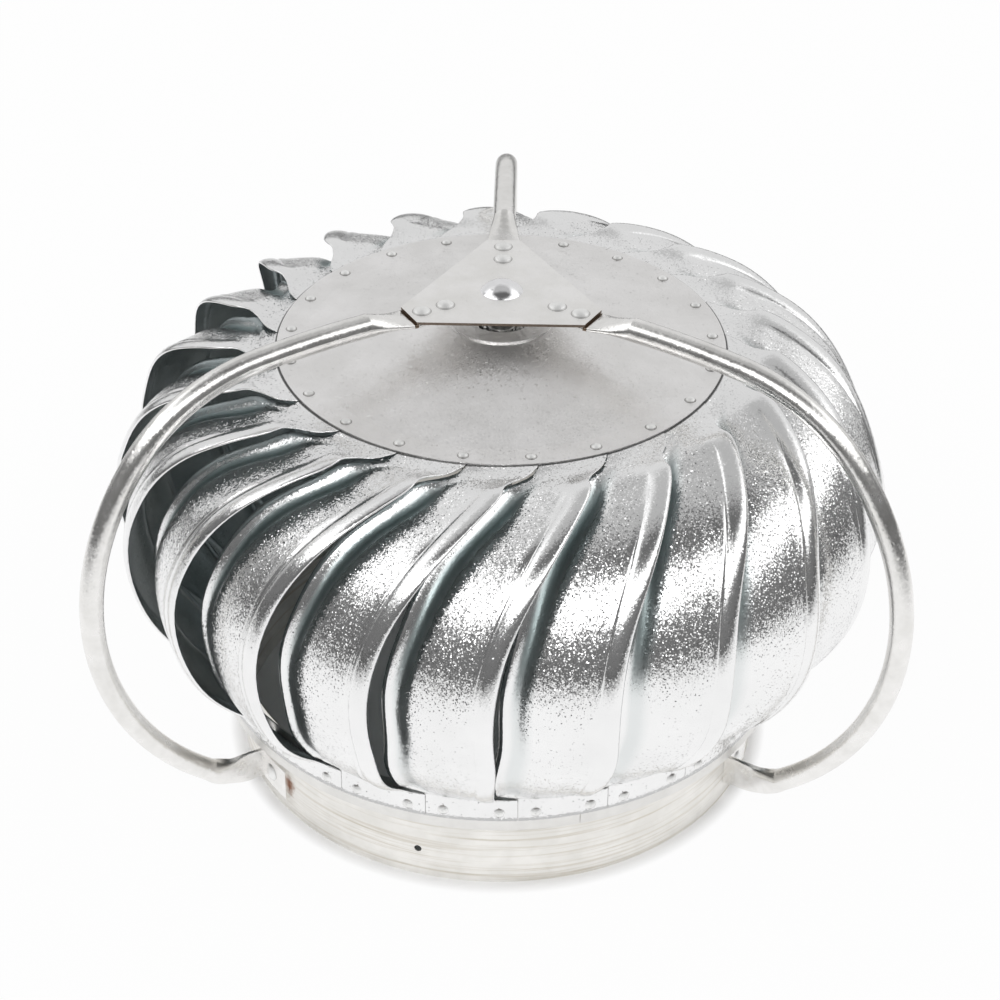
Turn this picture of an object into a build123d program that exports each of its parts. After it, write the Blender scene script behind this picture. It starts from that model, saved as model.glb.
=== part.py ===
from build123d import *
import os
from math import atan2, ceil, cos, degrees, exp, pi, radians, sin, sqrt, tan

# Roof turbine ventilator for a 300 mm throat. Millimetres, +Z up.
# The origin is the centre of the throat collar's bottom edge, on the spin axis.
# The three arms stand at 90, 210 and 330 degrees, and the rotor turns about +Z.

# ---- Driving dimensions -------------------------------------------------------------
# Throat collar, the fixed sheet ring that drops over the roof duct
throat_radius = 150.0            # outside of the collar wall
collar_sheet = 0.8
collar_height = 58.0
collar_bead_z = 40.0
collar_bead_radius = 2.6
screw_hole_radius = 2.1
screw_hole_z = 18.5
screw_hole_angle = 14.1
screw_hole_count = 3

# Arms, bent from round tube with flattened ends
arm_angles = {"arm_back": 90.0, "arm_left": 210.0, "arm_right": 330.0}
tube_radius = 6.35
tube_wall = 1.2
flat_thickness = 2.6             # both walls of the tube pressed together
top_flat_width = 18.6
tab_height = 19.4
tab_z = 20.4
tab_sweep = 9.6                  # degrees of collar wall that the lower tab covers
tab_rivet_angle = 4.0            # from the arm's own angle to its rivet in the tab
fold_reach = 5.2                 # from the collar wall to where the flat turns onto it
foot_straight = 9.2              # from that fold to the foot bend
crown_bend_radius = 520.0
shoulder_bend_radius = 102.0
belly_bend_radius = 155.0
foot_bend_radius = 33.3
bend_turns = (7.0, 45.6, 88.9)   # crown, shoulder and belly; the foot turns the rest

# Top plate, a triangle with clipped corners
plate_thickness = 1.5
plate_inradius = 35.7
plate_corner_radius = 55.6       # from the spin axis to a clipped corner's edge

# Rotor sheet metal
vane_count = 21
vane_sheet = 0.6
disc_sheet = 0.8
rim_radius = 121.0
rim_flat = 14.0                  # flat rim outside the disc's cone
rim_z = 255.0                    # top of the disc's flat rim
hub_seat_z = 270.3               # top of the disc's raised centre
hub_seat_radius = 31.0
hub_hole_radius = 24.0
equator_radius = 214.0
ring_radius = 164.0
ring_sheet = 0.8
ring_bottom_z = 50.5
ring_top_z = 78.0
ring_seam_angle = -73.6
ring_seam_gap = 0.4
flange_bottom_z = 57.5
flange_top_z = 71.5
mouth_depth = 17.0               # how far a vane's inner edge lies inside the outer one
crown_lift = 7.0                 # how far a vane's leading edge stands over the crown
rib_width = 10.5                 # stepped rib along a vane's leading edge
rib_height = 1.7
lip_width = 8.0                  # curled lip along a vane's trailing edge
lip_height = 3.4
hollow_depth = 4.2               # of the groove between the lip and the panel
hollow_width = 8.4
forming_length = 26.0            # over which the pressing grows from the flat rim
vane_overlap = 2.6               # degrees that a vane's edge covers the next near the crown
vane_mouth_gap = 1.6             # degrees between two neighbouring vanes below the equator
vane_top_twist = 27.0            # degrees from the equator forward to the rim
vane_foot_twist = 4.4            # degrees from the equator forward to the flange
vane_seam_gap = 0.3              # between two neighbouring vanes at the rim and the ring
vane_tab_length = 15.0
first_seam_angle = -62.9         # seam between two vanes at the disc's rim

# Rivets
small_shank_radius = 1.6
small_head_radius = 3.1
small_head_height = 1.3
small_tail_radius = 2.3
small_tail_height = 0.9
big_shank_radius = 2.4
big_head_radius = 5.2
big_head_height = 1.9
big_tail_radius = 3.6
big_tail_height = 1.2
flush_tail_height = 0.5          # hammered flat inside the collar, to clear the duct
rim_rivet_inset = 6.5            # in from the disc's edge
rim_rivet_offset = 3.0           # from the seam between two vanes to its rim rivet
ring_rivet_z = 63.0
flange_rivet_angles = (-5.2, 5.2)   # from the middle of a vane's flange
plate_inner_rivet_radius = 34.0
plate_outer_rivet_radius = 48.0
spider_rivet_radius = 27.0
rivet_clearance = 0.05
sheet_gap = 0.05                 # between two riveted sheets

# Axle and bearings (each bearing is 30 x 10 x 9)
axle_radius = 5.0
axle_bottom_z = 64.0
bolt_head_radius = 11.3
bolt_head_height = 5.2
bearing_outer_radius = 15.0
bearing_width = 9.0
bearing_race = 2.5               # thickness of each race
bearing_groove = 0.9             # how deep a ball sits in each race
ball_count = 7
upper_bearing_z = 256.0          # bottom face of the upper bearing
lower_bearing_z = 76.0           # bottom face of the lower bearing
shaft_clearance = 0.03           # radial, between the axle and what it passes through
ball_clearance = 0.04
seat_clearance = 0.02            # radial, between a bearing and its housing
nut_across_flats = 17.0
nut_height = 8.0
washer_radius = 10.0
washer_thickness = 1.5
spacer_wall = 1.8

# Bearing housings and the rotor's lower spider
housing_sheet = 1.2
housing_flange_radius = 29.6
housing_mouth_radius = 19.3
spider_sheet = 2.0
spider_arm_width = 24.0
spider_arm_count = 3
spider_hub_radius = 34.0

# ---- Worked out from the driving dimensions ------------------------------------------
vane_pitch = 360.0 / vane_count
fold_radius = throat_radius + fold_reach
foot_bend_turn = 180 - sum(bend_turns)
plate_rivet_radii = (plate_inner_rivet_radius, plate_outer_rivet_radius)
rim_inner_radius = rim_radius - rim_flat
rim_rivet_radius = rim_radius - rim_rivet_inset
crown_radius = equator_radius - rim_radius   # of the rotor's upper half, rim to equator
vane_top_z = rim_z - disc_sheet - vane_sheet / 2 - sheet_gap
equator_z = vane_top_z - crown_radius
ring_inner_radius = ring_radius - ring_sheet
flange_inner_radius = ring_radius + sheet_gap
flange_mid_radius = flange_inner_radius + vane_sheet / 2
flange_outer_radius = flange_inner_radius + vane_sheet
foot_drop = equator_z - flange_top_z
foot_inset = equator_radius - flange_mid_radius
lower_radius = (foot_inset**2 + foot_drop**2) / (2 * foot_inset)
lower_arc = atan2(foot_drop, lower_radius - foot_inset)
crown_length = crown_radius * pi / 2
foot_length = lower_radius * lower_arc
body_length = crown_length + foot_length
twist_share = 0.6                # share of the vane's length above the twist's turning point
panel_shares = (0.04, 0.1, 0.17, 0.25, 0.35, 0.46, 0.58, 0.7, 0.82, 0.92)
pressing_room = 45.0             # vane width below which rib and lip crowd together
first_vane_angle = first_seam_angle - vane_top_twist
collar_inner_radius = throat_radius - collar_sheet
ball_radius = (bearing_outer_radius - axle_radius - 2 * bearing_race) / 2 + bearing_groove
ball_circle_radius = (bearing_outer_radius + axle_radius) / 2
lower_washer_z = lower_bearing_z - washer_thickness
lower_nut_z = lower_washer_z - nut_height
spider_z = lower_bearing_z - spider_sheet


# ---- Helpers ---------------------------------------------------------------------------
def ring(outer, inner, bottom, height):
    """A plain tube about the spin axis."""
    tube = Cylinder(outer, height, align=(Align.CENTER, Align.CENTER, Align.MIN))
    bore = Cylinder(inner, height, align=(Align.CENTER, Align.CENTER, Align.MIN))
    return Pos(0, 0, bottom) * (tube - bore)


def turned(points):
    """A solid of revolution from an outline in radius and height."""
    outline = Polyline(*[(r, 0, z) for r, z in points], close=True)
    return revolve(make_face(outline), axis=Axis.Z)


def upright(angle, radius, z):
    """A place on the axis's radius at this angle, with local +Z up."""
    return Rot(0, 0, angle) * Pos(radius, 0, z)


def facing_out(angle, radius, z):
    """A place on a round wall at this angle, with local +Z pointing outwards."""
    return upright(angle, radius, z) * Rot(0, 90, 0)


def dome(radius, height):
    """A rivet's or bolt's domed head on the local XY plane."""
    ball = (radius**2 + height**2) / (2 * height)
    cap = Sphere(ball).moved(Pos(0, 0, height - ball))
    block = Cylinder(radius, height, align=(Align.CENTER, Align.CENTER, Align.MIN))
    return cap & block


def rivet(shank, head, head_height, tail, tail_height, grip):
    """Head above local z = 0, shank through the grip and the upset tail below it."""
    body = Cylinder(shank, grip, align=(Align.CENTER, Align.CENTER, Align.MAX))
    upset = Cylinder(tail, tail_height, align=(Align.CENTER, Align.CENTER, Align.MAX))
    return dome(head, head_height) + body + upset.moved(Pos(0, 0, -grip))


def small_rivet(grip):
    return rivet(small_shank_radius, small_head_radius, small_head_height,
                 small_tail_radius, small_tail_height, grip)


def big_rivet(grip):
    return rivet(big_shank_radius, big_head_radius, big_head_height,
                 big_tail_radius, big_tail_height, grip)


def hole(radius, depth):
    """A cutter through local z = 0, both ways."""
    return Cylinder(radius + rivet_clearance, depth)


def wall_gap(radius, across):
    """How far a flat face of this half width stands off a round wall."""
    return radius - sqrt(radius**2 - across**2)


def hex_nut(bottom):
    """A chamfered hexagon nut about the axle."""
    corner = nut_across_flats / sqrt(3)
    blank = extrude(RegularPolygon(corner, 6), nut_height)
    chamfered = dome(corner * 1.02, nut_height * 4) & blank
    bore = Cylinder(axle_radius + shaft_clearance, 3 * nut_height)
    return Pos(0, 0, bottom) * (chamfered - bore)


# ---- Throat collar -----------------------------------------------------------------------
def screw_hole_places():
    step = 360.0 / screw_hole_count
    return [facing_out(screw_hole_angle + step * i, throat_radius, screw_hole_z)
            for i in range(screw_hole_count)]


def tab_rivet_places():
    wall = throat_radius + flat_thickness
    return [facing_out(angle + tab_rivet_angle, wall, tab_z) for angle in arm_angles.values()]


def base_collar():
    wall = ring(throat_radius, collar_inner_radius, 0, collar_height)
    bead = Torus(collar_inner_radius, collar_bead_radius).moved(Pos(0, 0, collar_bead_z))
    bore = Cylinder(collar_inner_radius, 2 * collar_height)
    groove = Torus(collar_inner_radius, collar_bead_radius - collar_sheet)
    collar = wall + (bead - bore) - groove.moved(Pos(0, 0, collar_bead_z))
    for place in screw_hole_places():
        collar -= place * Cylinder(screw_hole_radius, 6 * collar_sheet)
    for place in tab_rivet_places():
        collar -= place * hole(big_shank_radius, 4 * flat_thickness)
    return collar


# ---- Arms ----------------------------------------------------------------------------------
def tube_section(place, half_width, half_thickness):
    """A closed tube outline, round when both halves are equal and flat otherwise."""
    flatness = 1 - half_thickness / half_width
    power = 2 / (2 + 4 * flatness)
    count = 24
    points = []
    for i in range(count):
        turn = 2 * pi * (i + 0.5) / count
        x = half_width * abs(cos(turn)) ** power * (1 if cos(turn) > 0 else -1)
        y = half_thickness * abs(sin(turn)) ** power * (1 if sin(turn) > 0 else -1)
        points.append((x, y))
    return place * make_face(Spline(*points, periodic=True))


def arm_path():
    """Tube centreline from the crown down to the collar, as (centre, radius, heading, turn)."""
    radii = (crown_bend_radius, shoulder_bend_radius, belly_bend_radius, foot_bend_radius)
    turns = (*bend_turns, foot_bend_turn)
    r, z, heading = fold_radius + foot_straight, tab_z, -sum(turns)
    arcs = []
    for radius, turn in zip(reversed(radii), reversed(turns)):
        centre = (r + radius * sin(radians(heading)), z - radius * cos(radians(heading)))
        heading += turn
        arcs.insert(0, (centre, radius, heading, turn))
        r = centre[0] - radius * sin(radians(heading))
        z = centre[1] + radius * cos(radians(heading))
    return arcs


def path_place(arc, share):
    """The tube's section plane part way along one bend: local X is tangential, Z along it."""
    centre, radius, heading, turn = arc
    now = radians(heading - turn * share)
    origin = (centre[0] - radius * sin(now), 0, centre[1] + radius * cos(now))
    return Plane(origin=origin, x_dir=(0, 1, 0), z_dir=(cos(now), 0, sin(now)))


plate_top_z = path_place(arm_path()[0], 0).origin.Z
plate_bottom_z = plate_top_z - plate_thickness
plate_nut_z = plate_bottom_z - nut_height
arm_flat_z = plate_bottom_z - flat_thickness / 2


def arm_body():
    """One arm along +X: flattened top end, bent tube and flattened lower end."""
    arcs = arm_path()
    half_flat = flat_thickness / 2
    half_wide = top_flat_width / 2
    half_tall = tab_height / 2
    inner_end = min(plate_rivet_radii) - big_head_radius - flat_thickness
    start = path_place(arcs[0], 0)
    top = [tube_section(Plane((r, 0, arm_flat_z), (0, 1, 0), (1, 0, 0)), half_wide, half_flat)
           for r in (inner_end, plate_corner_radius)]
    round_start = tube_section(start, tube_radius, tube_radius)
    line = Wire([ThreePointArc(*[path_place(arc, share).origin for share in (0, 0.5, 1)])
                 for arc in arcs[:-1]])
    bend = []
    for share in (0.0, 0.45, 0.9):
        section = path_place(arcs[-1], share)
        turned_up = Plane(section.origin, -section.y_dir, section.z_dir)
        tall = tube_radius + (half_tall - tube_radius) * share**1.5
        thick = tube_radius + (half_flat - tube_radius) * share
        bend.append(tube_section(turned_up, tall, thick))
    flat_end = [tube_section(Plane((r, 0, tab_z), (0, 0, 1), (-1, 0, 0)), half_tall, half_flat)
                for r in (fold_radius + flat_thickness, throat_radius + flat_thickness / 4)]
    body = loft(top) + loft([top[1], round_start]) + sweep(round_start, path=line)
    body += loft(bend + flat_end[:1]) + loft(flat_end)
    bore = tube_section(start, tube_radius - tube_wall, tube_radius - tube_wall)
    return body - sweep(bore, path=line)


def arm_tab():
    """The end of the lower flat, folded anticlockwise onto the collar wall."""
    wall = ring(throat_radius + flat_thickness, throat_radius + sheet_gap,
                tab_z - tab_height / 2, tab_height)
    start = -degrees(flat_thickness / 2 / throat_radius)
    return wall & sector(start, tab_sweep, 2 * throat_radius, collar_height)


def arm(angle):
    body = arm_blank.moved(Rot(0, 0, angle))
    for radius in plate_rivet_radii:
        body -= upright(angle, radius, arm_flat_z) * hole(big_shank_radius, 4 * flat_thickness)
    place = facing_out(angle + tab_rivet_angle, throat_radius, tab_z)
    return body - place * hole(big_shank_radius, 4 * flat_thickness)


def collar_rivets():
    grip = flat_thickness + collar_sheet + wall_gap(collar_inner_radius, big_tail_radius)
    solid = rivet(big_shank_radius, big_head_radius, big_head_height,
                  big_tail_radius, flush_tail_height, grip)
    return [place * solid for place in tab_rivet_places()]


# ---- Top plate ---------------------------------------------------------------------------------
def top_plate():
    half = (2 * plate_inradius - plate_corner_radius) * tan(radians(30))
    corners = [upright(angle, plate_corner_radius, 0) * Pos(0, side, 0)
               for angle in arm_angles.values() for side in (-half, half)]
    outline = make_face(Polyline(*[corner.position for corner in corners], close=True))
    plate = Pos(0, 0, plate_bottom_z) * extrude(outline, plate_thickness)
    plate -= Pos(0, 0, plate_top_z) * Cylinder(axle_radius + shaft_clearance, 4 * plate_thickness)
    for place in plate_rivet_places():
        plate -= place * hole(big_shank_radius, 4 * plate_thickness)
    return plate


def plate_rivet_places():
    return [upright(angle, radius, plate_top_z)
            for angle in arm_angles.values() for radius in plate_rivet_radii]


def plate_rivets():
    solid = big_rivet(plate_thickness + flat_thickness)
    return [place * solid for place in plate_rivet_places()]


# ---- Axle ----------------------------------------------------------------------------------------
def axle_bolt():
    """Domed bolt through the plate; its long shank is the rotor's fixed axle."""
    length = plate_top_z - axle_bottom_z
    shank = Cylinder(axle_radius, length, align=(Align.CENTER, Align.CENTER, Align.MAX))
    return Pos(0, 0, plate_top_z) * (dome(bolt_head_radius, bolt_head_height) + shank)


def axle_sleeve(bottom, top):
    bore = axle_radius + shaft_clearance
    return ring(bore + spacer_wall, bore, bottom, top - bottom)


# ---- Ball bearings -------------------------------------------------------------------------------
def bearing_track(bottom):
    track = Torus(ball_circle_radius, ball_radius + ball_clearance)
    return track.moved(Pos(0, 0, bottom + bearing_width / 2))


def inner_race(bottom):
    bore = axle_radius + shaft_clearance
    return ring(axle_radius + bearing_race, bore, bottom, bearing_width) - bearing_track(bottom)


def outer_race(bottom):
    outside = bearing_outer_radius
    return ring(outside, outside - bearing_race, bottom, bearing_width) - bearing_track(bottom)


def ball_set(bottom):
    z = bottom + bearing_width / 2
    return [upright(360.0 / ball_count * i, ball_circle_radius, z) * Sphere(ball_radius)
            for i in range(ball_count)]


# ---- Rotor disc and upper bearing housing ---------------------------------------------------------
def rim_rivet_places():
    step = degrees(rim_rivet_offset / rim_rivet_radius)
    return [upright(first_seam_angle + vane_pitch * i - step, rim_rivet_radius, rim_z)
            for i in range(vane_count)]


def top_disc():
    under = disc_sheet
    disc = turned([(rim_radius, rim_z), (rim_inner_radius, rim_z), (hub_seat_radius, hub_seat_z),
                   (hub_hole_radius, hub_seat_z), (hub_hole_radius, hub_seat_z - under),
                   (hub_seat_radius, hub_seat_z - under), (rim_inner_radius, rim_z - under),
                   (rim_radius, rim_z - under)])
    for place in rim_rivet_places():
        disc -= place * hole(small_shank_radius, 6 * disc_sheet)
    return disc


def rim_rivets():
    solid = small_rivet(disc_sheet + vane_sheet + sheet_gap)
    return [place * solid for place in rim_rivet_places()]


def upper_housing():
    """Pressed cup hung in the disc's hub hole, with the bearing seat at its bottom."""
    seat = bearing_outer_radius + seat_clearance
    lip = bearing_outer_radius - bearing_race * 0.8
    seat_top = upper_bearing_z + bearing_width
    sheet = housing_sheet
    return turned([
        (housing_flange_radius, hub_seat_z), (housing_flange_radius, hub_seat_z + sheet),
        (housing_mouth_radius, hub_seat_z + sheet), (housing_mouth_radius, seat_top),
        (seat, seat_top), (seat, upper_bearing_z), (lip, upper_bearing_z),
        (lip, upper_bearing_z - sheet), (seat + sheet, upper_bearing_z - sheet),
        (seat + sheet, seat_top - sheet), (housing_mouth_radius + sheet, seat_top - sheet),
        (housing_mouth_radius + sheet, hub_seat_z)])


# ---- Lower ring, spider and lower bearing housing ------------------------------------------------------
def vane_middle_angle(index):
    """Middle of a vane's flange on the lower ring."""
    return first_vane_angle + vane_foot_twist + vane_pitch * (index - 0.5)


def holds_spider(index, side):
    """The spider's tabs share one flange rivet each, evenly spread round the ring."""
    return side == 0 and index % (vane_count // spider_arm_count) == 0


def ring_rivet_places():
    return [(facing_out(vane_middle_angle(i) + offset, flange_outer_radius, ring_rivet_z),
             holds_spider(i, side))
            for i in range(vane_count) for side, offset in enumerate(flange_rivet_angles)]


def lower_ring():
    wall = ring(ring_radius, ring_inner_radius, ring_bottom_z, ring_top_z - ring_bottom_z)
    seam = upright(ring_seam_angle, ring_radius, ring_bottom_z)
    wall -= seam * Box(6 * ring_sheet, ring_seam_gap, 3 * ring_top_z)
    for place, _ in ring_rivet_places():
        wall -= place * hole(small_shank_radius, 6 * ring_sheet)
    return wall


def ring_rivets():
    tail_gap = wall_gap(ring_inner_radius, small_tail_radius)
    plain = small_rivet(vane_sheet + sheet_gap + ring_sheet + tail_gap)
    long = small_rivet(vane_sheet + sheet_gap + ring_sheet + spider_sheet + 2 * tail_gap)
    return [place * (long if through else plain) for place, through in ring_rivet_places()]


def lower_spider():
    hub = Cylinder(spider_hub_radius, spider_sheet, align=(Align.CENTER, Align.CENTER, Align.MIN))
    outside = ring_inner_radius - wall_gap(ring_inner_radius, small_tail_radius)
    tab_bottom = ring_rivet_z - spider_arm_width / 4
    skirt = ring(outside, outside - spider_sheet, tab_bottom, lower_bearing_z - tab_bottom)
    body = Pos(0, 0, spider_z) * hub
    for place, through in ring_rivet_places():
        if through:
            strip = Box(2 * ring_radius, spider_arm_width, spider_sheet + lower_bearing_z)
            turn = Rot(0, 0, atan2_degrees(place.position))
            web = turn * Pos(ring_radius, 0, spider_z) * strip
            body += web & ring(outside, axle_radius, spider_z, spider_sheet)
            body += web & skirt
            body -= place * hole(small_shank_radius, 6 * (ring_sheet + spider_sheet))
    body -= Cylinder(bearing_outer_radius - bearing_race * 0.8, 3 * lower_bearing_z)
    for place in spider_rivet_places():
        body -= place * hole(small_shank_radius, 6 * spider_sheet)
    return body


def atan2_degrees(point):
    return degrees(atan2(point.Y, point.X))


def spider_rivet_places():
    step = 360.0 / spider_arm_count
    return [upright(vane_middle_angle(0) + step * (i + 0.5), spider_rivet_radius,
                    lower_bearing_z + housing_sheet) for i in range(spider_arm_count)]


def spider_rivets():
    solid = small_rivet(housing_sheet + spider_sheet)
    return [place * solid for place in spider_rivet_places()]


def lower_housing():
    """Pressed cap over the lower bearing, riveted to the spider."""
    seat = bearing_outer_radius + seat_clearance
    lip = bearing_outer_radius - bearing_race * 0.8
    top = lower_bearing_z + bearing_width
    sheet = housing_sheet
    cap = turned([
        (spider_hub_radius, lower_bearing_z), (seat, lower_bearing_z), (seat, top), (lip, top),
        (lip, top + sheet), (seat + sheet, top + sheet), (seat + sheet, lower_bearing_z + sheet),
        (spider_hub_radius, lower_bearing_z + sheet)])
    for place in spider_rivet_places():
        cap -= place * hole(small_shank_radius, 6 * spider_sheet)
    return cap


# ---- Vanes ---------------------------------------------------------------------------------------------
def skin_point(share):
    """Radius, height and outward normal on the rotor's outer surface, rim to flange."""
    along = share * body_length
    if along < crown_length:
        turn = along / crown_radius
        normal = (sin(turn), cos(turn))
        return rim_radius + crown_radius * normal[0], equator_z + crown_radius * normal[1], normal
    turn = (along - crown_length) / lower_radius
    normal = (cos(turn), -sin(turn))
    centre = equator_radius - lower_radius
    return centre + lower_radius * normal[0], equator_z + lower_radius * normal[1], normal


def twist(share):
    """Degrees that the vane leads its own equator by, at the rim and at the flange."""
    if share < twist_share:
        return vane_top_twist * (1 - share / twist_share) ** 2.2
    return vane_foot_twist * ((share - twist_share) / (1 - twist_share)) ** 1.8


def hump(share, start, end):
    """Zero outside the stretch, one in its middle, smooth between."""
    if share <= start or share >= end:
        return 0.0
    return sin(pi * (share - start) / (end - start)) ** 2


def vane_width(share, radius):
    """Degrees from a vane's outer edge back to its inner edge."""
    seam = degrees(vane_seam_gap / radius)
    cover = vane_overlap * hump(share, 0.03, 0.34)
    return vane_pitch - seam + cover - vane_mouth_gap * hump(share, 0.26, 1.0)


def smooth(value, start, end):
    """Zero up to the start, one from the end on, smooth between."""
    part = min(max((value - start) / (end - start), 0), 1)
    return part * part * (3 - 2 * part)


def sheet_rise(from_lead, from_trail, depth, formed, lift):
    """How far the pressed sheet stands over its skin line, by distance from both edges."""
    across = from_lead / (from_lead + from_trail)
    hollow_middle = lip_width + hollow_width / 3
    hollow = hollow_depth * exp(-((from_trail - hollow_middle) / (hollow_width / 2)) ** 2)
    lip = lip_height * (1 - smooth(from_trail, 0, lip_width))
    step = rib_height * smooth(from_lead, rib_width - rib_height, rib_width + rib_height)
    return formed * (lip - hollow - step) - depth * across**1.8 + lift * (1 - across) ** 2


def sheet_section(radius, z, normal, lead, width, depth=0.0, formed=0.0, lift=0.0, straight=False):
    """Closed outline of the bent sheet across a vane, from its leading edge back.
    A straight section is cut along a chord instead of round the spin axis."""
    wide = radius * radians(width)
    squeeze = min(1, wide / pressing_room)
    lead_side = [squeeze * rib_width * step for step in (0, 0.4, 0.8, 1.0, 1.2)]
    trail_side = [wide - squeeze * lip_width * step
                  for step in (2.6, 1.9, 1.6, 1.3, 1.0, 0.7, 0.35, 0)]
    between = trail_side[0] - lead_side[-1]
    places = lead_side + [lead_side[-1] + between * share for share in (1 / 3, 2 / 3)] + trail_side
    sides = []
    for offset in (vane_sheet / 2, -vane_sheet / 2):
        side = []
        for from_lead in places:
            shift = offset + sheet_rise(from_lead, wide - from_lead, depth, formed, lift)
            turn = width * from_lead / wide
            reach = radius + shift * normal[0]
            if straight:
                reach *= cos(radians(width / 2)) / cos(radians(turn - width / 2))
            side.append(polar(reach, lead - turn, z + shift * normal[1]))
        sides.append(side)
    outer, inner = sides
    return Wire([Spline(*outer), Line(outer[-1], inner[-1]),
                 Spline(*inner[::-1]), Line(inner[0], outer[0])])


def panel_section(share):
    radius, z, normal = skin_point(share)
    width = vane_width(share, radius)
    lead = first_vane_angle + twist(share)
    if share == 0:
        return sheet_section(radius, z, (0, 1), lead, width, straight=True)
    if share == 1:
        return sheet_section(radius, z, (1, 0), lead, width)
    depth = mouth_depth * sin(pi * share) ** 0.7
    along = share * body_length
    formed = smooth(along, 0, forming_length) * smooth(body_length - along, 0, forming_length)
    lift = crown_lift * smooth(along, 6, forming_length) * (1 - smooth(share, 0.22, 0.46))
    return sheet_section(radius, z, normal, lead, width, depth, formed, lift)


def vane_blank():
    """The first vane; the others are the same piece turned by whole pitches.
    A flat tab lies under the disc's rim, the panel bulges, a flange stands on the ring."""
    rim_end, foot_end = panel_section(0), panel_section(1)
    tab_radius = rim_radius - vane_tab_length
    tab_end = sheet_section(tab_radius, vane_top_z, (0, 1), first_seam_angle,
                            vane_width(0, tab_radius), straight=True)
    panel = Solid.make_loft([rim_end, *[panel_section(share) for share in panel_shares], foot_end])
    flange = extrude(make_face(foot_end), flange_top_z - flange_bottom_z, dir=(0, 0, -1))
    blank = Part() + [panel, Solid.make_loft([tab_end, rim_end], ruled=True), flange]
    blank -= rim_rivet_places()[0] * hole(small_shank_radius, 6 * disc_sheet)
    for place, _ in ring_rivet_places()[:len(flange_rivet_angles)]:
        blank -= place * hole(small_shank_radius, 6 * ring_sheet)
    return blank


def polar(radius, angle, z):
    return Vector(radius * cos(radians(angle)), radius * sin(radians(angle)), z)


def sector(start, end, radius, height):
    """A wedge about the spin axis between two angles, spanning z = 0 to the height."""
    steps = max(2, ceil((end - start) / 20))
    rim = [polar(radius, start + (end - start) * i / steps, 0) for i in range(steps + 1)]
    return extrude(make_face(Polyline(Vector(0, 0, 0), *rim, close=True)), height)


# ---- Parts -------------------------------------------------------------------------------
def one_solid(shape):
    solids = shape.solids()
    assert len(solids) == 1, f"{len(solids)} solids where one was expected"
    return solids[0]


def save(node, shape):
    """Write one node: a single solid, or a group of alike fasteners kept apart."""
    if isinstance(shape, list):
        body = Compound(children=[one_solid(piece) for piece in shape])
    else:
        body = one_solid(shape)
    export_step(body, f"parts/{node}.step")


arm_blank = arm_body() + arm_tab()
first_vane = vane_blank()

os.makedirs("parts", exist_ok=True)
save("base_collar", base_collar())
for name, angle in arm_angles.items():
    save(name, arm(angle))
save("collar_rivets", collar_rivets())
save("top_plate", top_plate())
save("plate_rivets", plate_rivets())
save("axle_bolt", axle_bolt())
save("plate_nut", hex_nut(plate_nut_z))
save("upper_spacer", axle_sleeve(upper_bearing_z + bearing_width, plate_nut_z))
save("distance_tube", axle_sleeve(lower_bearing_z + bearing_width, upper_bearing_z))
save("lower_washer", ring(washer_radius, axle_radius + shaft_clearance,
                          lower_washer_z, washer_thickness))
save("lower_nut", hex_nut(lower_nut_z))
for level, bottom in {"upper": upper_bearing_z, "lower": lower_bearing_z}.items():
    save(f"{level}_inner_race", inner_race(bottom))
    save(f"{level}_outer_race", outer_race(bottom))
    save(f"{level}_bearing_balls", ball_set(bottom))
save("top_disc", top_disc())
save("rim_rivets", rim_rivets())
save("upper_housing", upper_housing())
save("lower_ring", lower_ring())
save("ring_rivets", ring_rivets())
save("lower_spider", lower_spider())
save("lower_housing", lower_housing())
save("spider_rivets", spider_rivets())
for index in range(vane_count):
    save(f"vane_{index + 1:02d}", first_vane.moved(Rot(0, 0, vane_pitch * index)))
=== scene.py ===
from math import asin, cos, degrees, pi, radians, sin

import bpy
import numpy as np
from mathutils import Matrix, Vector


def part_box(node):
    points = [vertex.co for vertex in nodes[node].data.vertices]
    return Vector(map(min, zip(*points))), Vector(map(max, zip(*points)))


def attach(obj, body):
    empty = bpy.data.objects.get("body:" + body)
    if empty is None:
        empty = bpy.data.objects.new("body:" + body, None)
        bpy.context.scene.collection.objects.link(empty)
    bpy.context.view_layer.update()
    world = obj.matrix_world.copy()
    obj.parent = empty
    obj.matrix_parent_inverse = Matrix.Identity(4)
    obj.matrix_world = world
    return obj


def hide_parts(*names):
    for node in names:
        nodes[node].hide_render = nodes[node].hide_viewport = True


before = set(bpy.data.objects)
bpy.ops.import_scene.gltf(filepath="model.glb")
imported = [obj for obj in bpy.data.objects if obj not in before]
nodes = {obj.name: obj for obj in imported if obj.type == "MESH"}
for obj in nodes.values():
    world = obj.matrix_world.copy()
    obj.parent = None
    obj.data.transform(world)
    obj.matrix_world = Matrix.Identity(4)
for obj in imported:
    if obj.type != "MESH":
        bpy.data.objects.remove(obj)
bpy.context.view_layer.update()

# ---- Throat collar -----------------------------------------------------------------------
# The collar is a rolled strip of galvanised steel that drops over the roof duct. Its zinc
# has gone dull and chalky from handling, with level streaks of dirt and a spot of rust.
MM = 0.001
common_steepness, rare_steepness = 0.5, 2.4


def link(tree, source, output, target, socket):
    """One wire between two shader nodes, by socket name or number."""
    tree.links.new(source.outputs[output], target.inputs[socket])


def noise(tree, coordinates, scale, detail=3.0, roughness=0.55):
    """A cloudy noise over the given coordinates."""
    node = tree.nodes.new("ShaderNodeTexNoise")
    node.inputs["Scale"].default_value = scale
    node.inputs["Detail"].default_value = detail
    node.inputs["Roughness"].default_value = roughness
    tree.links.new(coordinates, node.inputs["Vector"])
    return node


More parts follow.
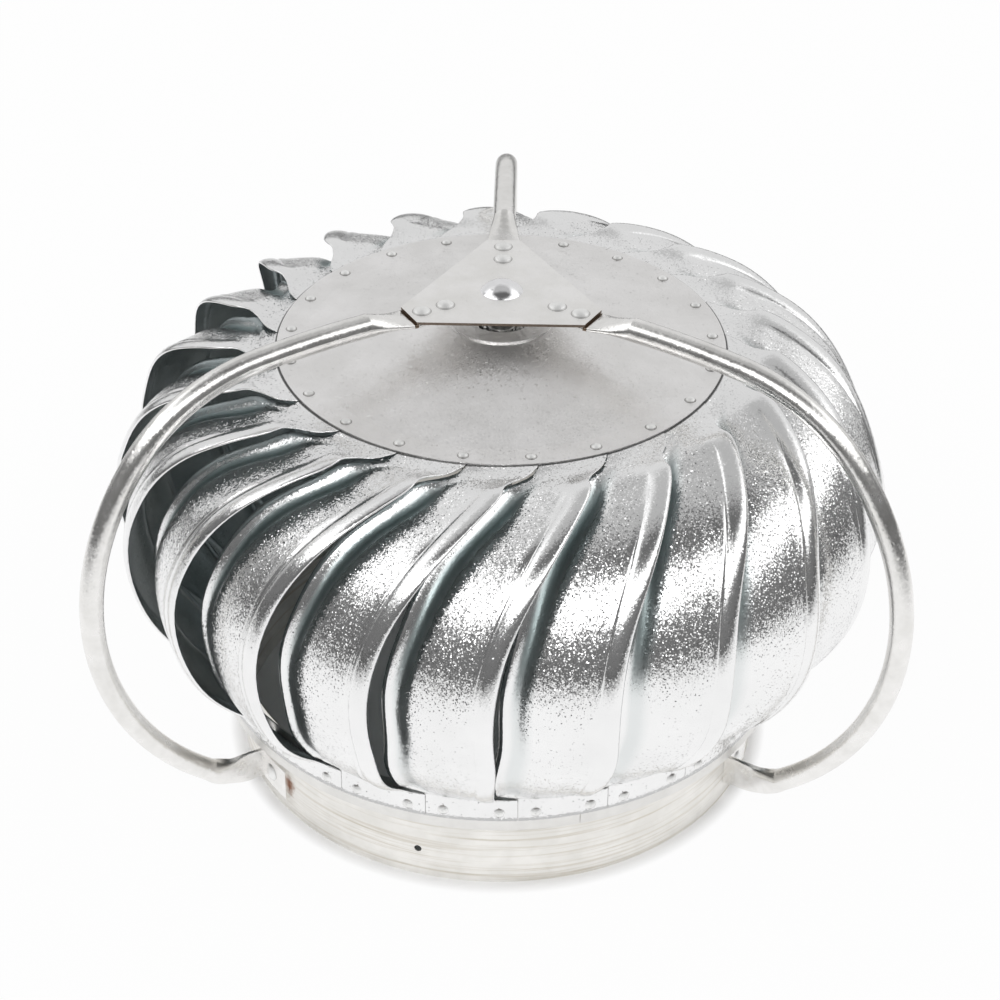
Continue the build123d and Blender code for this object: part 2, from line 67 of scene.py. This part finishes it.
def steps(tree, value, low, high):
    """Map a value so that low gives 0 and high gives 1, held at both ends."""
    node = tree.nodes.new("ShaderNodeMapRange")
    node.inputs["From Min"].default_value = low
    node.inputs["From Max"].default_value = high
    tree.links.new(value, node.inputs["Value"])
    return node.outputs["Result"]


def feed(tree, value, socket):
    """Give a socket a plain value, or wire it to another node's output."""
    if isinstance(value, bpy.types.NodeSocket):
        tree.links.new(value, socket)
    else:
        socket.default_value = value


def group_socket(tree, name, kind, direction, value=None):
    """Give a node group one more input or output."""
    socket = tree.interface.new_socket(name=name, in_out=direction, socket_type=kind)
    if value is not None:
        socket.default_value = value


def maths(tree, operation, first, second=0.0, third=0.0):
    """One arithmetic node; each side is a number or another node's output."""
    node = tree.nodes.new("ShaderNodeMath")
    node.operation = operation
    for socket, value in zip(node.inputs, (first, second, third)):
        feed(tree, value, socket)
    return node.outputs[0]


def inverse(tree, mask):
    """The mask turned over, so that 0 gives 1 and 1 gives 0."""
    return maths(tree, "SUBTRACT", 1.0, mask)


def vectors(tree, operation, first, second=(0, 0, 0)):
    """One vector node; each side is a triple or another node's output."""
    node = tree.nodes.new("ShaderNodeVectorMath")
    node.operation = operation
    for socket, value in zip(node.inputs, (first, second)):
        feed(tree, value, socket)
    return node.outputs["Value" if operation in ("LENGTH", "DISTANCE") else "Vector"]


def scaled(tree, vector, factor):
    """A vector made longer by a factor that is another node's output."""
    node = tree.nodes.new("ShaderNodeVectorMath")
    node.operation = "SCALE"
    tree.links.new(vector, node.inputs[0])
    tree.links.new(factor, node.inputs["Scale"])
    return node.outputs[0]


def object_place(tree):
    """Where the surface lies in its object's own space, in metres."""
    return tree.nodes.new("ShaderNodeTexCoord").outputs["Object"]


def zinc_surface_group():
    """Crystals of hot-dip zinc, each tilted its own way, under soft clouds of dullness."""
    tree = bpy.data.node_groups.new("zinc surface", "ShaderNodeTree")
    for name, value in [("Crystal Size", 0.8), ("Crystal Tilt", 0.3), ("Cloud Size", 30.0),
                        ("Roughness", 0.3), ("Roughness Spread", 0.06)]:
        group_socket(tree, name, "NodeSocketFloat", "INPUT", value)
    group_socket(tree, "Normal", "NodeSocketVector", "OUTPUT")
    group_socket(tree, "Roughness", "NodeSocketFloat", "OUTPUT")
    group_socket(tree, "Cloud", "NodeSocketFloat", "OUTPUT")
    given = tree.nodes.new("NodeGroupInput")
    made = tree.nodes.new("NodeGroupOutput")
    place = object_place(tree)
    crystals = tree.nodes.new("ShaderNodeTexVoronoi")
    tree.links.new(place, crystals.inputs["Vector"])
    tree.links.new(maths(tree, "DIVIDE", 1 / MM, given.outputs["Crystal Size"]),
                   crystals.inputs["Scale"])
    centred = vectors(tree, "SUBTRACT", crystals.outputs["Color"], (0.5, 0.5, 0.5))
    chance = tree.nodes.new("ShaderNodeTexWhiteNoise")
    link(tree, crystals, "Color", chance, "Vector")
    rare = maths(tree, "POWER", chance.outputs["Value"], 3.0)
    steepness = maths(tree, "MULTIPLY_ADD", rare, rare_steepness, common_steepness)
    tilt = scaled(tree, centred, maths(tree, "MULTIPLY", steepness, given.outputs["Crystal Tilt"]))
    smooth = tree.nodes.new("ShaderNodeNewGeometry").outputs["Normal"]
    normal = vectors(tree, "NORMALIZE", vectors(tree, "ADD", smooth, tilt))
    cloud = noise(tree, place, 1.0, 3.0, 0.6)
    tree.links.new(maths(tree, "DIVIDE", 1 / MM, given.outputs["Cloud Size"]),
                   cloud.inputs["Scale"])
    dull = steps(tree, cloud.outputs["Fac"], 0.3, 0.7)
    roughness = maths(tree, "MULTIPLY_ADD", dull, given.outputs["Roughness Spread"],
                      given.outputs["Roughness"])
    tree.links.new(normal, made.inputs["Normal"])
    tree.links.new(roughness, made.inputs["Roughness"])
    tree.links.new(steps(tree, cloud.outputs["Fac"], 0.35, 0.65), made.inputs["Cloud"])
    return tree


zinc_surface = zinc_surface_group()


def mixed(tree, mask, first, second):
    """A colour mix; each side is a colour or another node's output."""
    node = tree.nodes.new("ShaderNodeMix")
    node.data_type = "RGBA"
    tree.links.new(mask, node.inputs["Factor"])
    for side, colour in ((6, first), (7, second)):
        feed(tree, (*colour, 1) if isinstance(colour, tuple) else colour, node.inputs[side])
    return node.outputs[2]


def zinc_material(name, light, dark, roughness, spread, crystal_size, crystal_tilt, cloud_size):
    """Bare zinc or aluminium: metal shader over the shared surface group."""
    material = bpy.data.materials.new(name)
    material.use_nodes = True
    tree = material.node_tree
    shader = tree.nodes["Principled BSDF"]
    shader.inputs["Metallic"].default_value = 1.0
    surface = tree.nodes.new("ShaderNodeGroup")
    surface.node_tree = zinc_surface
    surface.inputs["Crystal Size"].default_value = crystal_size
    surface.inputs["Crystal Tilt"].default_value = crystal_tilt
    surface.inputs["Cloud Size"].default_value = cloud_size
    surface.inputs["Roughness"].default_value = roughness
    surface.inputs["Roughness Spread"].default_value = spread
    colour = mixed(tree, surface.outputs["Cloud"], dark, light)
    tree.links.new(colour, shader.inputs["Base Color"])
    link(tree, surface, "Roughness", shader, "Roughness")
    link(tree, surface, "Normal", shader, "Normal")
    return material, tree, shader, colour


def finish_node(name, material):
    """Give one plain solid its material."""
    mesh = nodes[name].data
    mesh.materials.clear()
    mesh.materials.append(material)


collar_zinc, tree, shader, colour = zinc_material(
    "collar zinc", (0.96, 0.945, 0.915), (0.84, 0.825, 0.79), 0.40, 0.12, 1.6, 0.10, 22.0)
streaks_per_metre = (9, 9, 420)
dirt_brown, rust_brown = (0.64, 0.59, 0.50), (0.30, 0.14, 0.08)
rust_spot = (-118.6 * MM, -93.4 * MM, 20 * MM)
rust_reach, rust_fade, rust_raggedness = 10 * MM, 15 * MM, 11 * MM
place = object_place(tree)
streak = noise(tree, vectors(tree, "MULTIPLY", place, streaks_per_metre), 1.0, 4.0, 0.65)
streaked = mixed(tree, steps(tree, streak.outputs["Fac"], 0.50, 0.74), colour, dirt_brown)
crumbs = noise(tree, place, 320.0, 3.0, 0.7)
ragged = maths(tree, "MULTIPLY_ADD", crumbs.outputs["Fac"], rust_raggedness,
               vectors(tree, "DISTANCE", place, rust_spot))
rust = inverse(tree, steps(tree, ragged, rust_reach, rust_fade))
tree.links.new(mixed(tree, rust, streaked, rust_brown), shader.inputs["Base Color"])
finish_node("base_collar", collar_zinc)
throat_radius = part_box("base_collar")[1].x

# ---- Lower ring, spider and bearings -----------------------------------------------------
# The rotor stands on a rolled ring; a three-armed spider inside it carries the lower
# bearing on the fixed axle. These parts sit in shade behind the vanes.
ring_zinc = zinc_material(
    "ring zinc", (0.88, 0.87, 0.85), (0.78, 0.77, 0.75), 0.36, 0.10, 1.2, 0.10, 18.0)[0]
bearing_steel = zinc_material(
    "bearing steel", (0.70, 0.70, 0.69), (0.60, 0.60, 0.60), 0.22, 0.04, 2.0, 0.02, 9.0)[0]
finish_node("lower_ring", ring_zinc)
for name in ("lower_spider", "lower_housing", "spider_rivets", "lower_washer", "lower_nut",
             "plate_nut", "upper_spacer", "distance_tube"):
    finish_node(name, ring_zinc)
for name in ("lower_inner_race", "lower_outer_race", "lower_bearing_balls",
             "upper_inner_race", "upper_outer_race", "upper_bearing_balls"):
    finish_node(name, bearing_steel)

# ---- Vanes -------------------------------------------------------------------------------
# Twenty-one pressed vanes of thin bright sheet make the bulging rotor. Each has a stepped
# rib along its leading edge, and a hollow with a curled lip along its trailing edge.
vane_names = sorted(name for name in nodes if name.startswith("vane_"))
vane_count = len(vane_names)
vane_pitch = 360 / vane_count
vane_sheet = 0.6
sheet_gap = 0.05
rim_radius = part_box("top_disc")[1].x / MM
rim_under = 254.2
equator_radius = max((v.co.xy.length for v in nodes["vane_01"].data.vertices)) / MM
ring_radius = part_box("lower_ring")[1].x / MM
flange_radius = ring_radius + sheet_gap + vane_sheet
flange_height = 14.0
flange_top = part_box("vane_01")[0].z / MM + flange_height
crown_radius = 93.0
equator_height = rim_under - crown_radius
foot_drop = equator_height - flange_top
foot_inset = equator_radius - flange_radius
foot_arc_radius = (foot_inset**2 + foot_drop**2) / (2 * foot_inset)
crown_length = crown_radius * pi / 2
panel_length = crown_length + foot_arc_radius * asin(foot_drop / foot_arc_radius)
tab_length = 14.0
rim_seam = -62.9
top_twist = 27.0
foot_twist = 4.4
twist_share = 0.6
crown_lift = 7.0
mouth_depth = 17.0
rib_width = 10.5
rib_step = 1.7
rib_swell = 1.6
fold_height = 0.7
groove_depth = 3.0
groove_foot_depth = 1.2
groove_width = 4.8
lip_width = 8.0
lip_height = 3.4
lip_tip = 2.4
lip_tip_drop = 1.4
corner_radius = 9.0
seam_gap = 0.3
notch_depth = 3.6
lead_reach = 2.4
mouth_width = 2.4
crown_tuck = 11.0
foot_tuck = 2.0


def ease(value, start, end):
    """Smooth rise from 0 at start to 1 at end."""
    part = np.clip((value - start) / (end - start), 0, 1)
    return part * part * (3 - 2 * part)


def vane_profile(along):
    """Radius, height and outward normal of the outer skin, by distance from the rim."""
    if along <= 0:
        return rim_radius + along, rim_under, (0.0, 1.0)
    if along <= crown_length:
        turn = along / crown_radius
        normal = (sin(turn), cos(turn))
        return (equator_radius - crown_radius + crown_radius * normal[0],
                equator_height + crown_radius * normal[1], normal)
    if along <= panel_length:
        turn = (along - crown_length) / foot_arc_radius
        normal = (cos(turn), -sin(turn))
        return (equator_radius - foot_arc_radius + foot_arc_radius * normal[0],
                equator_height + foot_arc_radius * normal[1], normal)
    return flange_radius, flange_top - (along - panel_length), (1.0, 0.0)


def lead_angle(share):
    """The vane's leading edge, in degrees about the spin axis."""
    seam = rim_seam - top_twist
    if share < twist_share:
        return seam + top_twist * (1 - max(share, 0) / twist_share) ** 2.2
    low = (min(share, 1) - twist_share) / (1 - twist_share)
    return seam + foot_twist * low**1.8


def corner_sweep(below):
    """How far the leading edge hangs back of the flange seam, this far above the fold."""
    if below <= 0:
        return 0.0
    if below < corner_radius:
        return (2 * corner_radius * below - below**2) ** 0.5
    return corner_radius * (1 - ease(below, corner_radius, 9 * corner_radius))


def vane_edges(along):
    """Leading and trailing angles of the sheet at this distance from the rim."""
    share = along / panel_length
    radius = vane_profile(along)[0]
    per_mm = degrees(1 / radius)
    seam = lead_angle(share)
    above_fold = panel_length - along
    notch = notch_depth * ease(along, 7, 15) * (1 - ease(along, 18, 27))
    reach = lead_reach * ease(along, 20, 34) * (1 - ease(share, 0.16, 0.42))
    back = corner_sweep(above_fold)
    lead = seam + (reach - notch - back) * per_mm
    mouth = mouth_width * ease(share, 0.34, 0.5) * (1 - ease(share, 0.62, 0.85))
    tuck = (crown_tuck * ease(along, 4, 16) * (1 - ease(share, 0.18, 0.42))
            + foot_tuck * ease(share, 0.62, 0.85) * ease(above_fold, 0, 9))
    hang = back * ease(above_fold, 1.5, 9)
    trail = seam - vane_pitch + (seam_gap + mouth - tuck - hang) * per_mm
    return lead, trail


def vane_offset(along, across):
    """Height of the pressing over the skin, by distance along and share across."""
    share = along / panel_length
    pressed = ease(along, 7, 22) * ease(panel_length - along, 0, 16)
    depth = mouth_depth * max(sin(pi * min(max(share, 0), 1)), 0) ** 0.7
    width = 2 * pi * vane_profile(along)[0] / vane_count
    from_lead = across * width
    from_trail = (1 - across) * width
    rib = ease(along, 14, 30) * ease(panel_length - along, -2, 12)
    round_top = np.clip(1 - (2 * from_lead / rib_width - 1) ** 2, 0, 1) ** 0.6
    fold = fold_height * np.exp(-((from_lead - rib_width - 1.9) / 0.75) ** 2)
    ridge = rib_swell * round_top + fold - rib_step
    fall = across**1.8 * depth
    groove = groove_depth + (groove_foot_depth - groove_depth) * ease(share, 0.42, 0.62)
    hollow = groove * np.exp(-((from_trail - lip_width - 3.0) / groove_width) ** 2)
    curl = (lip_height * ease(lip_width - from_trail, 0, lip_width)
            - lip_tip_drop * ease(lip_tip - from_trail, 0, lip_tip))
    lift = crown_lift * ease(along, 8, 28) * (1 - ease(share, 0.22, 0.46))
    return rib * ridge - fall + pressed * (curl - hollow) + lift * (1 - across) ** 2


def vane_mesh():
    """One vane as a sheet of quads, outer face only."""
    rows = np.concatenate([
        [-tab_length, -tab_length / 2], np.linspace(0, 34, 15), np.linspace(37, 82, 12),
        np.linspace(87, panel_length - 24, 20), np.linspace(panel_length - 21, panel_length, 13),
        panel_length + np.array([1.2, 5.0, 10.0, flange_height])])
    widest = 2 * pi * equator_radius / vane_count
    lead_side = np.array([0, 0.8, 2.2, 4, 6, 8, 9.2, 9.8, 10.4, 11, 12, 12.6, 13.2, 13.8, 15])
    trail_side = np.array([19, 16, 14, 12, 10.5, 9, 7.6, 6.2, 4.8, 3.4, 2.2, 1.4, 0.7, 0])
    lead_side, trail_side = lead_side / widest, 1 - trail_side / widest
    between = np.linspace(lead_side[-1], trail_side[0], 9)[1:-1]
    columns = np.concatenate([lead_side, between, trail_side])
    vertices, faces, shade, drawn = [], [], [], []
    for along in rows:
        radius, height, normal = vane_profile(along)
        lead, trail = vane_edges(along)
        offsets = vane_offset(along, columns)
        for across, offset in zip(columns, offsets):
            angle = radians(lead + (trail - lead) * across)
            reach = radius + offset * normal[0]
            vertices.append((reach * cos(angle) * MM, reach * sin(angle) * MM,
                             (height + offset * normal[1]) * MM))
        from_trail = (1 - columns) * 2 * pi * radius / vane_count
        bent = ease(along, 8, 24) * ease(panel_length - along, 2, 14)
        upper = 1 - 0.75 * ease(along / panel_length, 0.42, 0.60)
        from_lead = columns * 2 * pi * radius / vane_count
        shade.extend(bent * upper * ease(from_trail, 5, 9) * (1 - ease(from_trail, 12, 19)))
        drawn.extend(bent * np.maximum(1 - ease(from_lead, 11, 16), 1 - ease(from_trail, 12, 20)))
    wide = len(columns)
    for row in range(len(rows) - 1):
        for column in range(wide - 1):
            a = row * wide + column
            faces.append((a, a + 1, a + wide + 1, a + wide))
    mesh = bpy.data.meshes.new("vane blank")
    mesh.from_pydata(vertices, [], faces)
    mesh.attributes.new("hollow", "FLOAT", "POINT").data.foreach_set("value", shade)
    mesh.attributes.new("drawn", "FLOAT", "POINT").data.foreach_set("value", drawn)
    mesh.polygons.foreach_set("use_smooth", [True] * len(faces))
    mesh.update()
    return mesh


def ring_tree(name, count, materials):
    """Copies of the given mesh set evenly about the spin axis."""
    tree = bpy.data.node_groups.new(name, "GeometryNodeTree")
    group_socket(tree, "Geometry", "NodeSocketGeometry", "INPUT")
    group_socket(tree, "Count", "NodeSocketInt", "INPUT", count)
    group_socket(tree, "Turn", "NodeSocketFloat", "INPUT", radians(360 / count))
    group_socket(tree, "Waver", "NodeSocketFloat", "INPUT", 0.0)
    group_socket(tree, "Seed", "NodeSocketFloat", "INPUT", 3.0)
    group_socket(tree, "Geometry", "NodeSocketGeometry", "OUTPUT")
    new = tree.nodes.new
    given, made = new("NodeGroupInput"), new("NodeGroupOutput")
    line = new("GeometryNodeMeshLine")
    line.inputs["Offset"].default_value = (0, 0, 0)
    link(tree, given, "Count", line, "Count")
    number = new("GeometryNodeInputIndex")
    spin = new("ShaderNodeCombineXYZ")
    turn = maths(tree, "MULTIPLY", number.outputs[0], given.outputs["Turn"])
    tree.links.new(turn, spin.inputs["Z"])
    copies = new("GeometryNodeInstanceOnPoints")
    link(tree, line, "Mesh", copies, "Points")
    link(tree, given, "Geometry", copies, "Instance")
    link(tree, spin, 0, copies, "Rotation")
    joined = new("GeometryNodeRealizeInstances")
    link(tree, copies, "Instances", joined, "Geometry")
    place = new("GeometryNodeInputPosition")
    wave = new("ShaderNodeTexNoise")
    wave.noise_dimensions = "4D"
    wave.inputs["Scale"].default_value = 14.0
    wave.inputs["Detail"].default_value = 1.0
    link(tree, place, 0, wave, "Vector")
    link(tree, given, "Seed", wave, "W")
    centred = vectors(tree, "SUBTRACT", wave.outputs["Color"], (0.5, 0.5, 0.5))
    shift = new("GeometryNodeSetPosition")
    link(tree, joined, 0, shift, "Geometry")
    tree.links.new(scaled(tree, centred, given.outputs["Waver"]), shift.inputs["Offset"])
    slot_number = new("GeometryNodeInputMaterialIndex")
    painted = shift
    for index, material in enumerate(materials):
        side = new("FunctionNodeCompare")
        side.data_type = "INT"
        side.operation = "EQUAL"
        side.inputs["B"].default_value = index
        paint = new("GeometryNodeSetMaterial")
        paint.inputs["Material"].default_value = material
        link(tree, slot_number, 0, side, "A")
        link(tree, side, 0, paint, "Selection")
        link(tree, painted, 0, paint, "Geometry")
        painted = paint
    link(tree, painted, 0, made, "Geometry")
    return tree


def grown(name, mesh, tree, sizes, thickness):
    """Thicken a mesh, repeat it by its node tree and keep the plain result as one piece."""
    blank = bpy.data.objects.new(name + " blank", mesh)
    bpy.context.scene.collection.objects.link(blank)
    solid = blank.modifiers.new("sheet", "SOLIDIFY")
    solid.thickness = thickness
    solid.offset = -1
    solid.material_offset = 1
    modifier = blank.modifiers.new("repeat", "NODES")
    modifier.node_group = tree
    for item in tree.interface.items_tree:
        if item.in_out == "INPUT" and item.name in sizes:
            modifier[item.identifier] = sizes[item.name]
    graph = bpy.context.evaluated_depsgraph_get()
    result = bpy.data.meshes.new_from_object(blank.evaluated_get(graph))
    bpy.data.objects.remove(blank)
    piece = bpy.data.objects.new(name, result)
    bpy.context.scene.collection.objects.link(piece)
    return piece


def from_axis(tree):
    """Distance from the spin axis, in metres."""
    return vectors(tree, "LENGTH", vectors(tree, "MULTIPLY", object_place(tree), (1, 1, 0)))


def attribute(tree, name):
    """A value that the mesh carries at each vertex."""
    node = tree.nodes.new("ShaderNodeAttribute")
    node.attribute_name = name
    return node.outputs["Fac"]


vane_zinc, tree, shader, colour = zinc_material(
    "vane zinc", (0.93, 0.93, 0.93), (0.88, 0.88, 0.88), 0.16, 0.03, 0.62, 0.2, 40.0)
hollow_painted_shade, rim_shadow_tint = (0.46, 0.54, 0.54), (0.10, 0.10, 0.10)
rim_shadow_start, rim_shadow_end = 0.7 * MM, 1.3 * MM
full_tilt, tilt_gain_where_drawn = 0.27, -0.18
plain_roughness, roughness_gain_in_hollow = 0.16, 0.22
# Painted shade: the hollow along each trailing edge is darkened to a teal grey, standing for the
# shade and dark reflection in the recess.
in_hollow = attribute(tree, "hollow")
with_hollow_shade = mixed(tree, in_hollow, colour, hollow_painted_shade)
# Painted shadow: the vanes darken to near black just outside the disc's rim, standing for the rim's
# shadow and the dark edge of its sheet.
past_rim = maths(tree, "SUBTRACT", from_axis(tree), rim_radius * MM)
rim_shadow = inverse(tree, steps(tree, past_rim, rim_shadow_start, rim_shadow_end))
tree.links.new(mixed(tree, rim_shadow, with_hollow_shade, rim_shadow_tint), shader.inputs["Base Color"])
surface = tree.nodes["Group"]
tilt = maths(tree, "MULTIPLY_ADD", attribute(tree, "drawn"), tilt_gain_where_drawn, full_tilt)
tree.links.new(tilt, surface.inputs["Crystal Tilt"])
worn = maths(tree, "MULTIPLY_ADD", in_hollow, roughness_gain_in_hollow, plain_roughness)
tree.links.new(worn, surface.inputs["Roughness"])
# Painted shade: the vanes' inner faces take a darker, teal copy of the zinc, for the shade inside
# the rotor.
shaded_inside_zinc = zinc_material(
    "vane zinc shaded inside", (0.60, 0.65, 0.66), (0.44, 0.49, 0.50), 0.35, 0.10, 0.9, 0.12, 40.0)[0]
blank = vane_mesh()
blank.materials.append(vane_zinc)
blank.materials.append(shaded_inside_zinc)
vanes = grown("vanes", blank, ring_tree("ring of vanes", vane_count, [vane_zinc, shaded_inside_zinc]),
              {"Count": vane_count, "Turn": radians(vane_pitch), "Waver": 0.5 * MM},
              thickness=vane_sheet * MM)
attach(vanes, "rotor")
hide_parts(*vane_names)

# ---- Disc and upper bearing housing ------------------------------------------------------
# The rotor's top is a shallow coned disc of galvanised sheet, with a flat rim riveted over
# the vanes and a pressed bearing cup at its centre.
disc_zinc = zinc_material(
    "disc zinc", (0.92, 0.91, 0.905), (0.82, 0.81, 0.80), 0.32, 0.08, 0.9, 0.16, 35.0)[0]
finish_node("top_disc", disc_zinc)
finish_node("upper_housing", disc_zinc)

# ---- Rivets ------------------------------------------------------------------------------
# Domed aluminium rivets close the vanes' tabs to the disc and their flanges to the ring, and
# hold the arms to the plate and the collar. Each head's edge is darkened with painted shade.
def edge_height(tree, kind):
    """How far a surface faces up or down, from 0 when it stands upright to 1."""
    parts = tree.nodes.new("ShaderNodeSeparateXYZ")
    link(tree, tree.nodes.new("ShaderNodeNewGeometry"), kind, parts, 0)
    return maths(tree, "ABSOLUTE", parts.outputs["Z"])


def rivet_material(name, unshaded_facing, shaded_facing):
    """Bright heads, going into painted shade as their facing height passes from one bound to the
    other.
    """
    material, tree, shader, colour = zinc_material(
        name, (0.96, 0.96, 0.95), (0.88, 0.88, 0.87), 0.42, 0.08, 1.1, 0.05, 6.0)
    # Painted shade: each head darkens towards near black by how far it faces up or down, for the
    # shade round its dome.
    edge = steps(tree, edge_height(tree, "Normal"), unshaded_facing, shaded_facing)
    tree.links.new(mixed(tree, edge, colour, (0.16, 0.15, 0.14)), shader.inputs["Base Color"])
    return material


upright_rivet = rivet_material("upright rivet", 0.86, 0.76)
sideways_rivet = rivet_material("sideways rivet", 0.45, 0.62)
for name in ("rim_rivets", "plate_rivets"):
    finish_node(name, upright_rivet)
for name in ("ring_rivets", "collar_rivets"):
    finish_node(name, sideways_rivet)

# ---- Arms --------------------------------------------------------------------------------
# Three bent steel tubes carry the top plate over the rotor. Their ends are pressed flat,
# with a brown line where each one leaves the plate's clipped corner.
plate_corner = max(v.co.xy.length for v in nodes["top_plate"].data.vertices)
tube_zinc, tree, shader, colour = zinc_material(
    "tube zinc", (0.93, 0.92, 0.905), (0.82, 0.81, 0.79), 0.21, 0.08, 1.2, 0.06, 16.0)
fold_half_width = 1.1 * MM
past_corner = maths(tree, "SUBTRACT", from_axis(tree), plate_corner)
fold_line = maths(tree, "LESS_THAN", maths(tree, "ABSOLUTE", past_corner), fold_half_width)
tree.links.new(mixed(tree, fold_line, colour, (0.20, 0.15, 0.11)), shader.inputs["Base Color"])
for name in ("arm_back", "arm_left", "arm_right"):
    finish_node(name, tube_zinc)

# ---- Top plate and bolt ------------------------------------------------------------------
# A clipped triangle of sheet joins the three arms; its cut edges have turned brown. The
# domed bolt through it is the axle.
plate_zinc, tree, shader, colour = zinc_material(
    "plate zinc", (0.96, 0.95, 0.94), (0.88, 0.87, 0.85), 0.34, 0.10, 0.9, 0.12, 20.0)
cut_edge = maths(tree, "LESS_THAN", edge_height(tree, "True Normal"), 0.5)
tree.links.new(mixed(tree, cut_edge, colour, (0.20, 0.16, 0.13)), shader.inputs["Base Color"])
bolt_chrome = zinc_material(
    "bolt chrome", (0.93, 0.93, 0.94), (0.86, 0.86, 0.87), 0.08, 0.06, 2.0, 0.05, 9.0)[0]
finish_node("top_plate", plate_zinc)
finish_node("axle_bolt", bolt_chrome)

# ---- Floor, light and camera -------------------------------------------------------------
# A white sweep lies under the ventilator and rises behind it. Bright panels stand round the
# front above head height; the room below them is dim, and the ceiling is dark over the front.
floor_mesh = bpy.data.meshes.new("floor")
floor_half = 4.0
near_edge, far_edge = 0.6, 1.8
floor_glow = 0.95
floor_mesh.from_pydata([(-floor_half, -floor_half, 0), (floor_half, -floor_half, 0),
                        (floor_half, floor_half, 0), (-floor_half, floor_half, 0)],
                       [], [(0, 1, 2, 3)])
floor = bpy.data.objects.new("floor", floor_mesh)
bpy.context.scene.collection.objects.link(floor)

floor_paint = bpy.data.materials.new("floor paint")
floor_paint.use_nodes = True
tree = floor_paint.node_tree
paint = tree.nodes["Principled BSDF"]
paint.inputs["Base Color"].default_value = (0.93, 0.93, 0.93, 1)
paint.inputs["Roughness"].default_value = 0.9
paint.inputs["Specular IOR Level"].default_value = 0.0
glow = tree.nodes.new("ShaderNodeEmission")
seen = tree.nodes.new("ShaderNodeLightPath")
reach = from_axis(tree)
outside = steps(tree, reach, throat_radius, throat_radius * 1.05)
near = inverse(tree, steps(tree, reach, near_edge, far_edge))
tree.links.new(maths(tree, "MAXIMUM", seen.outputs["Is Camera Ray"], near), glow.inputs["Strength"])
watched = maths(tree, "MAXIMUM", seen.outputs["Is Camera Ray"], seen.outputs["Is Glossy Ray"])
blend = tree.nodes.new("ShaderNodeMixShader")
shown = maths(tree, "MULTIPLY", watched, outside)
tree.links.new(maths(tree, "MULTIPLY", shown, floor_glow), blend.inputs[0])
link(tree, paint, 0, blend, 1)
link(tree, glow, 0, blend, 2)
link(tree, blend, 0, tree.nodes["Material Output"], "Surface")
floor_mesh.materials.append(floor_paint)

room_grey = (0.17,) * 3
panel_grey = (1.7,) * 3
sweep_grey = (0.75,) * 3
ceiling_grey = (0.13,) * 3
skylight_grey = (0.5,) * 3
panel_start, panel_full = 0.38, 0.52
ceiling_start, ceiling_full = 0.74, 0.88
world = bpy.data.worlds.new("studio")
bpy.context.scene.world = world
world.use_nodes = True
tree = world.node_tree
way = tree.nodes.new("ShaderNodeTexCoord")
split = tree.nodes.new("ShaderNodeSeparateXYZ")
link(tree, way, "Generated", split, 0)
height, depth = split.outputs["Z"], split.outputs["Y"]
behind = steps(tree, depth, 0.15, 0.6)
panels = maths(tree, "MULTIPLY", steps(tree, height, panel_start, panel_full),
               inverse(tree, steps(tree, depth, 0.2, 0.6)))
overhead = steps(tree, height, ceiling_start, ceiling_full)
low = mixed(tree, behind, room_grey, sweep_grey)
lit = mixed(tree, panels, low, panel_grey)
ceiling = mixed(tree, steps(tree, depth, -0.12, 0.10), ceiling_grey, skylight_grey)
whole = mixed(tree, overhead, lit, ceiling)
seen = tree.nodes.new("ShaderNodeLightPath")
tree.links.new(mixed(tree, seen.outputs["Is Camera Ray"], whole, (1, 1, 1)),
               tree.nodes["Background"].inputs["Color"])

lamp_place, lamp_aim = Vector((-0.5, -1.7, 1.5)), Vector((0, 0, 0.15))
lamp_data = bpy.data.lights.new("front panel", "AREA")
lamp_data.shape = "RECTANGLE"
lamp_data.size, lamp_data.size_y = 1.0, 0.7
lamp_data.energy = 5
lamp = bpy.data.objects.new("front panel", lamp_data)
bpy.context.scene.collection.objects.link(lamp)
lamp.location = lamp_place
lamp.rotation_euler = (lamp_aim - lamp_place).to_track_quat("-Z", "Y").to_euler()

azimuth, elevation, roll = radians(-0.656), radians(34.393), radians(0.585)
distance = 1.36527
sensor_width, lens_per_sensor = 36, 2.42248
target = Vector((0.000114, 0, 0.15076))
sight = Vector((sin(azimuth) * cos(elevation), cos(azimuth) * cos(elevation), -sin(elevation)))
camera_data = bpy.data.cameras.new("camera")
camera_data.sensor_width = sensor_width
camera_data.lens = sensor_width * lens_per_sensor
camera = bpy.data.objects.new("camera", camera_data)
bpy.context.scene.collection.objects.link(camera)
turn = sight.to_track_quat("-Z", "Y").to_matrix() @ Matrix.Rotation(roll, 3, "Z")
camera.matrix_world = Matrix.Translation(target - sight * distance) @ turn.to_4x4()
bpy.context.scene.camera = camera
bpy.context.scene.view_settings.view_transform = "Standard"
